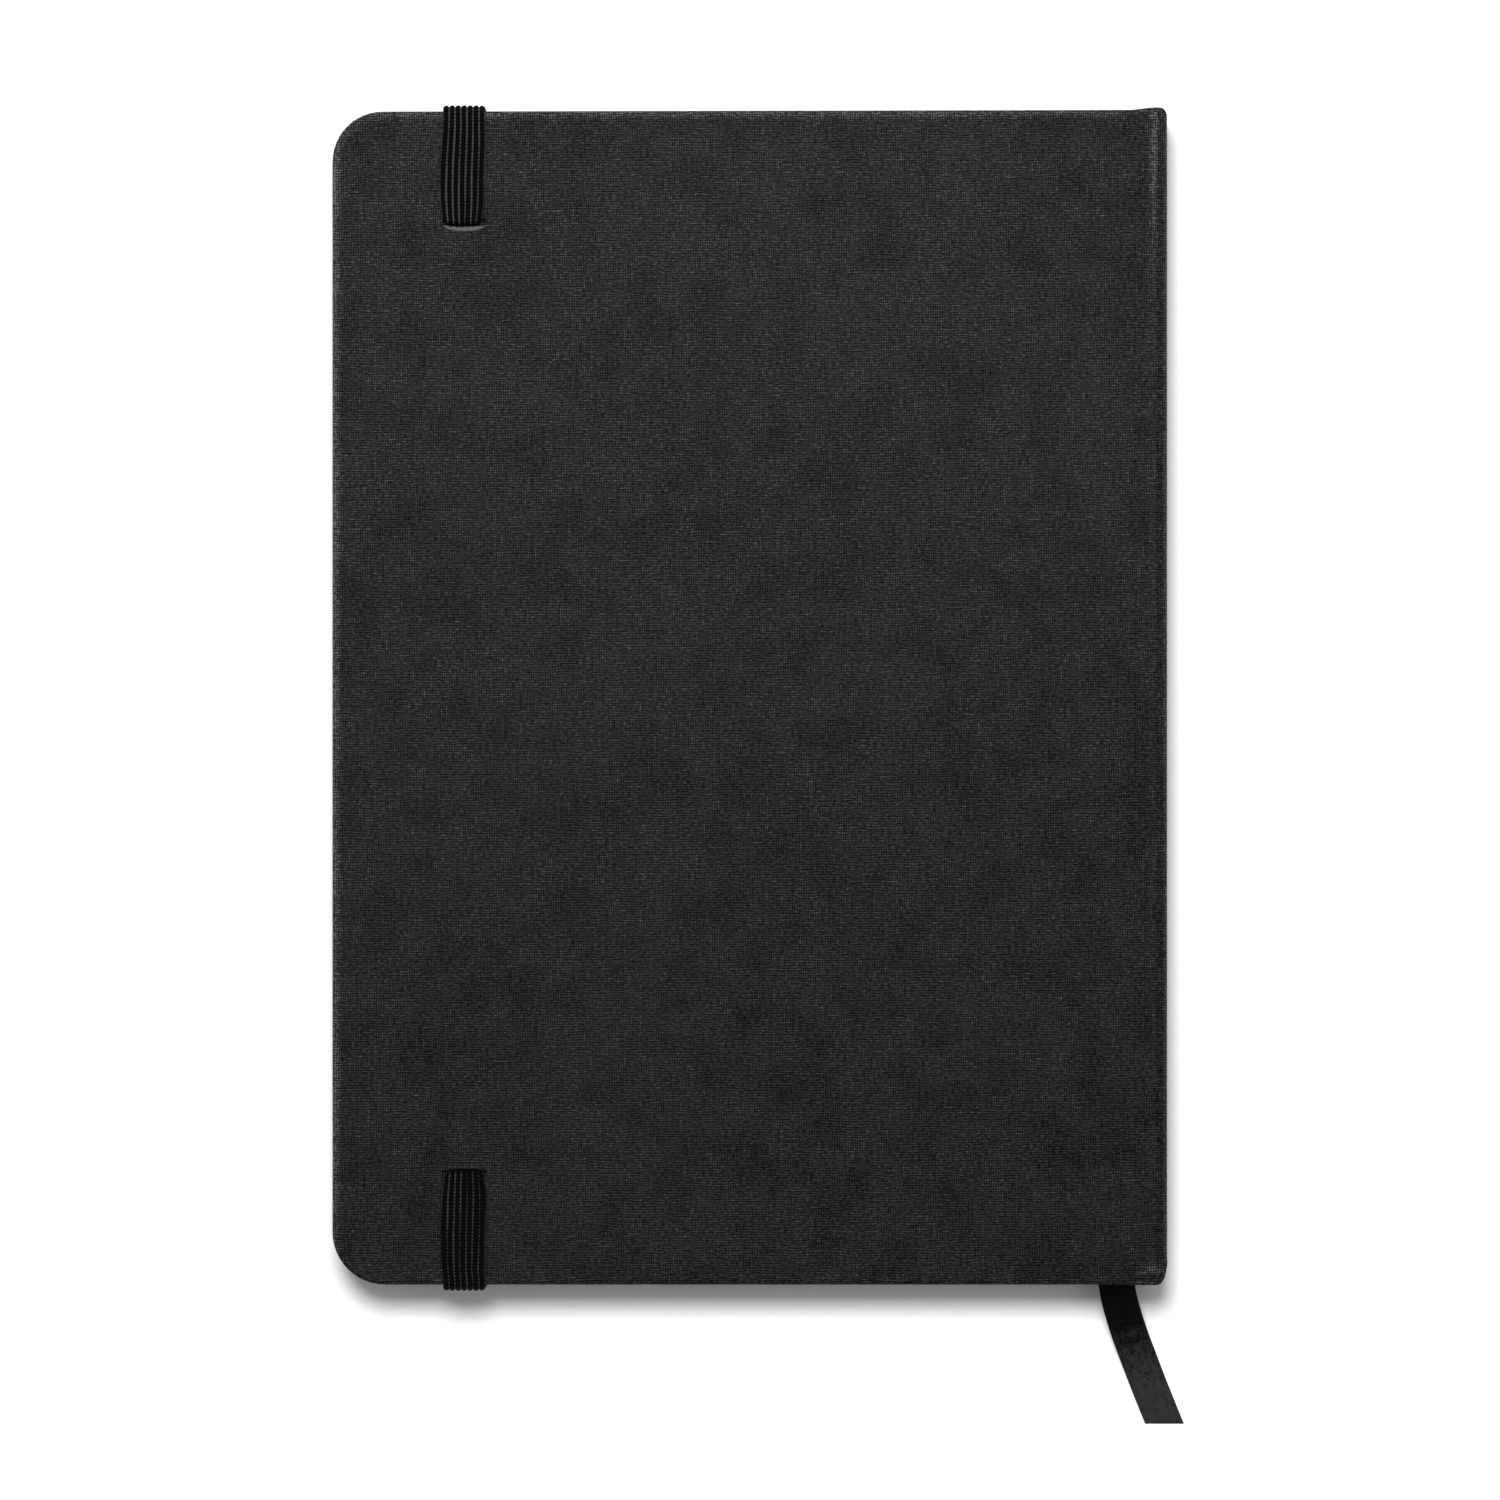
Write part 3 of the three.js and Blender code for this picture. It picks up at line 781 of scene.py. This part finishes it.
def fold_lift(x, y):
    """A soft ridge by the head cap, and a pinched fold across the tail of the joint."""
    across = smoothstep(BOARD_END_X, SPINE_X - 3.4, x) * smoothstep(SPINE_X - 0.6, SPINE_X - 2.2, x)
    head = 0.14 * ridge(x - SPINE_X + 2.7, 0.9) * smoothstep(40, 96, y)
    cap = 0.1 * ridge(HEAD_Y + 0.2 - y, 0.9) * across
    fold_y = -(HEAD_Y - 1.6) + 2.1 * smoothstep(SPINE_X - 3.4, SPINE_X - 0.5, x)
    along = smoothstep(BOARD_END_X - 1.5, BOARD_END_X + 1, x) * smoothstep(SPINE_X + 0.5, SPINE_X - 1, x)
    tail = along * (0.32 * ridge(y - fold_y, 0.5) - 0.22 * ridge(y - fold_y + 0.95, 0.45))
    roll = 0.05 * math.sin(y * 0.115 + 0.6) * math.sin(y * 0.043 + x * 0.4)
    return head + cap + tail + roll * across


def add_joint_and_spine(name, back):
    """Half of the spine's material with the joint to one cover; the other half meets it at mid-spine."""
    profile = joint_profile()
    rows = joint_rows()
    middle_steps = 44
    rings = []
    wear_and_highlight = []
    for x, depth, inward in profile:
        tail, head = tail_extent(x), head_extent(x)
        line = [(-tail + d, offset) for d, offset in rows]
        start, stop = line[-1][0], head - rows[-1][0]
        line += [(ease(start, stop, k / middle_steps), 0) for k in range(1, middle_steps)]
        line += [(head - d, offset) for d, offset in reversed(rows)]
        ring = []
        for y, offset in line:
            outward = -offset * 0.72 + (fold_lift(x, y) if offset < 0.1 else 0)
            px = x - inward[0] * outward
            level = depth - inward[1] * outward
            ring.append((px, y, BACK_Z - level if back else FRONT_Z + level))
            ends = smoothstep(1.2, 0.2, min(y + tail, head - y)) * (1 if offset < 0.5 else 0)
            # painted highlight: a light band along the spine's edge, strongest near the head
            spine_highlight = ridge(x - SPINE_X + 2.4, 0.6) * (0.04 + 0.5 * smoothstep(72, 101, y))
            rolled = 0.3 * ridge(depth - 1.3, 0.9) * smoothstep(SPINE_X - 1.2, SPINE_X - 0.5, x)
            # painted highlight along the pinched fold at the tail of the joint
            pinched = 0.4 * ridge(y + HEAD_Y - 2.6, 0.7) * smoothstep(BOARD_END_X, SPINE_X - 3, x)
            wear_and_highlight.append(max(0.3 * ends, spine_highlight, rolled, pinched))
        rings.append(ring)
    points, faces = loft(rings, ring_closed=False)
    if not back:
        faces = [face[::-1] for face in faces]
    sheet = make_object(name, points, faces, COVER)
    set_wear_and_highlight(sheet, wear_and_highlight)
    fold_z = (BACK_Z if back else FRONT_Z) * MM
    start = ((BOARD_END_X + 3.3) * MM, 0, fold_z)
    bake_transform(sheet)
    return sheet


def add_endpaper_hinge(side, back):
    """The endpaper between the pastedown and the flyleaf's glued edge."""
    paste_low, paste_high = box_mm(f"{side}_pastedown")
    guard_low, guard_high = box_mm(f"{side}_leaf_guard")
    if back:
        outer, inner = paste_low[2] + 0.02, guard_high[2] + 0.04
    else:
        outer, inner = paste_high[2] - 0.02, guard_low[2] - 0.04
    half = paste_high[1]
    rings = []
    count = 14
    start_x, stop_x = paste_high[0] - 0.3, BOARD_END_X + 2.1
    for k in range(count + 1):
        t = k / count
        z = ease(outer, inner, smoothstep(0, 1, t))
        rings.append([(ease(start_x, stop_x, t), ease(-half, half, j / 30), z) for j in range(31)])
    points, faces = loft(rings, ring_closed=False)
    sheet = make_object(f"{side}_endpaper_hinge", points, faces, ENDPAPER)
    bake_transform(sheet)


# ---- elastic --------------------------------------------------------------------------------
def elastic_section():
    """Across and thickness offsets of a ribbed band, as one closed ring."""
    per_rib = 6
    count = RIB_COUNT * per_rib
    face = []
    for k in range(count + 1):
        across = ELASTIC_W * (k / count - 0.5)
        rib = abs(math.sin(math.pi * k / per_rib))
        edge = 1 - 0.3 * abs(2 * k / count - 1) ** 8
        face.append((across, (ELASTIC_T / 2 - RIB_DEPTH * (1 - rib**0.6)) * edge))
    under = [(across, -depth) for across, depth in reversed(face)]
    return face + under


def elastic_band(name, line, settle=lambda across, y: (across, y)):
    """A ribbed band along a line of (y, z) points, its width along X. settle may move its points."""
    section = elastic_section()
    path = [Vector((0, y, z)) for y, z in line]
    rings = []
    for i, point in enumerate(path):
        way = (path[min(i + 1, len(path) - 1)] - path[max(i - 1, 0)]).normalized()
        out = Vector((0, -way.z, way.y))
        ring = []
        for across, thickness in section:
            y, z = point.y + out.y * thickness, point.z + out.z * thickness
            across_now, y_now = settle(across, y)
            ring.append((ELASTIC_X + across_now, y_now, z))
        rings.append(ring)
    points, faces = loft(rings, ring_closed=True)
    band = make_object(name, points, faces, ELASTIC)
    add_strip_uv(band, len(section), [a for a, t in section], lengths_along(path))
    face_outward(band)
    return band


def arc(centre_y, centre_z, radius, start, stop, steps=10):
    angles = [math.radians(ease(start, stop, k / steps)) for k in range(steps + 1)]
    return [(centre_y + radius * math.cos(a), centre_z + radius * math.sin(a)) for a in angles]


def straight(a, b, spacing):
    count = max(2, round(math.dist(a, b) / spacing))
    return [(ease(a[0], b[0], k / count), ease(a[1], b[1], k / count)) for k in range(1, count)]


def add_elastic():
    half_t = ELASTIC_T / 2
    face_z = BACK_Z + half_t + 0.02
    slot_y = HEAD_Y - SLOT_IN
    leg_y = (LEG_LOW[1] + LEG_HIGH[1]) / 2
    turn_r = 1.1
    over = arc(leg_y - turn_r, face_z - turn_r, turn_r, 90, 0)
    for sign, end in ((1, "head"), (-1, "tail")):
        dive_r = 0.75
        dive = arc(slot_y + dive_r, face_z - dive_r, dive_r, 180, 90, 8)
        inside = (slot_y, BACK_Z - COVER_T + 0.7)
        line = [inside] + straight(inside, dive[0], 0.4) + dive
        line += straight(dive[-1], over[0], 0.5) + over

        def settle(across, y):
            """The strap is drawn in at its slot with its corners back, swells past it and leans."""
            past = abs(y) - slot_y
            corner = (2 * abs(across) / ELASTIC_W) ** 5 * smoothstep(4, 0, past)
            swell = 1 + 0.06 * smoothstep(1, 5, past) * smoothstep(19, 12, past)
            swell -= 0.05 * smoothstep(2, 0, past)
            lean = -0.35 * smoothstep(18, 6, past) if sign > 0 else -0.2 * smoothstep(2, 14, past)
            return across * swell + lean * smoothstep(19.5, 17, past), y + sign * 0.9 * corner

        strap = elastic_band(f"elastic_band_{end}", [(sign * y, z) for y, z in line], settle)
        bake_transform(strap)
        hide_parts(f"elastic_strap_{end}")
    low_z = (STRAND_LOW[2] + STRAND_HIGH[2]) / 2
    under = arc(leg_y - turn_r, low_z + turn_r, turn_r, 0, -90)
    head_side = straight(over[-1], under[0], 1.2)
    half = [over[-1]] + head_side + under
    mirrored = [(-y, z) for y, z in reversed(half)]
    line = half + straight(under[-1], mirrored[0], 2.0) + mirrored
    loop = elastic_band("elastic_loop", line)
    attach(loop, "elastic")
    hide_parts("elastic_strand", "elastic_leg_head", "elastic_leg_tail")
    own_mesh(loop)


# ---- book block -----------------------------------------------------------------------------
def add_leaf(side, name):
    """A turning leaf as a thin flat sheet with rounded fore corners."""
    node = f"{side}_{name}"
    low, high = box_mm(node)
    radius = CORNER_R - 1
    inside = 0.004
    count = 48
    rings = []
    for k in range(count + 1):
        x = ease(low[0], high[0], (k / count) ** 1.3)
        reach = high[1]
        if x < low[0] + radius:
            short = low[0] + radius - x
            reach -= radius - math.sqrt(max(radius**2 - short**2, 0))
        ring = [(x, ease(-reach, reach, j / 24), high[2] - inside) for j in range(25)]
        ring += [(x, ease(reach, -reach, j / 24), low[2] + inside) for j in range(25)]
        rings.append(ring)
    points, faces = loft(rings, ring_closed=True)
    paper = ENDPAPER if name == "flyleaf" else LEAF
    leaf = make_object(f"{node}_sheet", points, faces, paper, smooth=False)
    face_outward(leaf)
    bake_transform(leaf)
    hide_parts(node)


def add_headband(end):
    """Stitches wound over a core, bulging between each turn."""
    node = f"headband_{end}"
    low, high = box_mm(node)
    centre_x, centre_y = (low[0] + high[0]) / 2, (low[1] + high[1]) / 2
    radius = (high[0] - low[0]) / 2
    turns = 14
    rings = []
    for k in range(turns * 6 + 1):
        share = k / (turns * 6)
        r = radius * (0.86 + 0.13 * abs(math.sin(math.pi * turns * share)))
        z = ease(low[2] + 0.02, high[2] - 0.02, share)
        ring = []
        for step in range(20):
            angle = 2 * math.pi * step / 20
            slant = 0.25 * math.cos(angle) * min(share, 1 - share) * 2
            ring.append((centre_x + r * math.cos(angle), centre_y + r * math.sin(angle), z + slant))
        rings.append(ring)
    points, faces = loft(rings, ring_closed=True)
    band = make_object(f"{node}_stitched", points, faces, BAND)
    face_outward(band)
    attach(band, "page_block")
    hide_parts(node)


def dress_cad_nodes():
    kept = {
        "signature_": PAGES,
        "front_pastedown": ENDPAPER,
        "back_pastedown": ENDPAPER,
        "front_leaf_guard": ENDPAPER,
        "back_leaf_guard": ENDPAPER,
        "front_board": BOARD,
        "back_board": BOARD,
        "spine_strip": BOARD,
        "spine_mull": MULL,
        "sewing_thread": THREAD,
    }
    for node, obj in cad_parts.items():
        for prefix, material in kept.items():
            if node.startswith(prefix):
                obj.data.materials.clear()
                obj.data.materials.append(material)


# ---- the scene ------------------------------------------------------------------------------
add_camera()
add_ribbon()
add_studio()
add_cover("back_cover_wrap", "back_cover", "back_cover_skin", back=True)
add_cover("front_cover_wrap", "front_cover", "front_cover_skin", back=False)
back_joint = add_joint_and_spine("back_joint_and_spine", back=True)
add_joint_and_spine("front_joint_and_spine", back=False)
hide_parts("spine_skin")
# painted highlight: the head rim is painted bright where it faces the key light; the tail rim is barely
# lightened
add_slot_rim("head", 1, rub_and_highlight=1.3)
add_slot_rim("tail", -1, rub_and_highlight=0.12)
add_elastic()
for book_side in ("front", "back"):
    add_endpaper_hinge(book_side, back=book_side == "back")
    for leaf_name in ("flyleaf", "leaf_1", "leaf_2", "leaf_3"):
        add_leaf(book_side, leaf_name)
for band_end in ("head", "tail"):
    add_headband(band_end)
dress_cad_nodes()
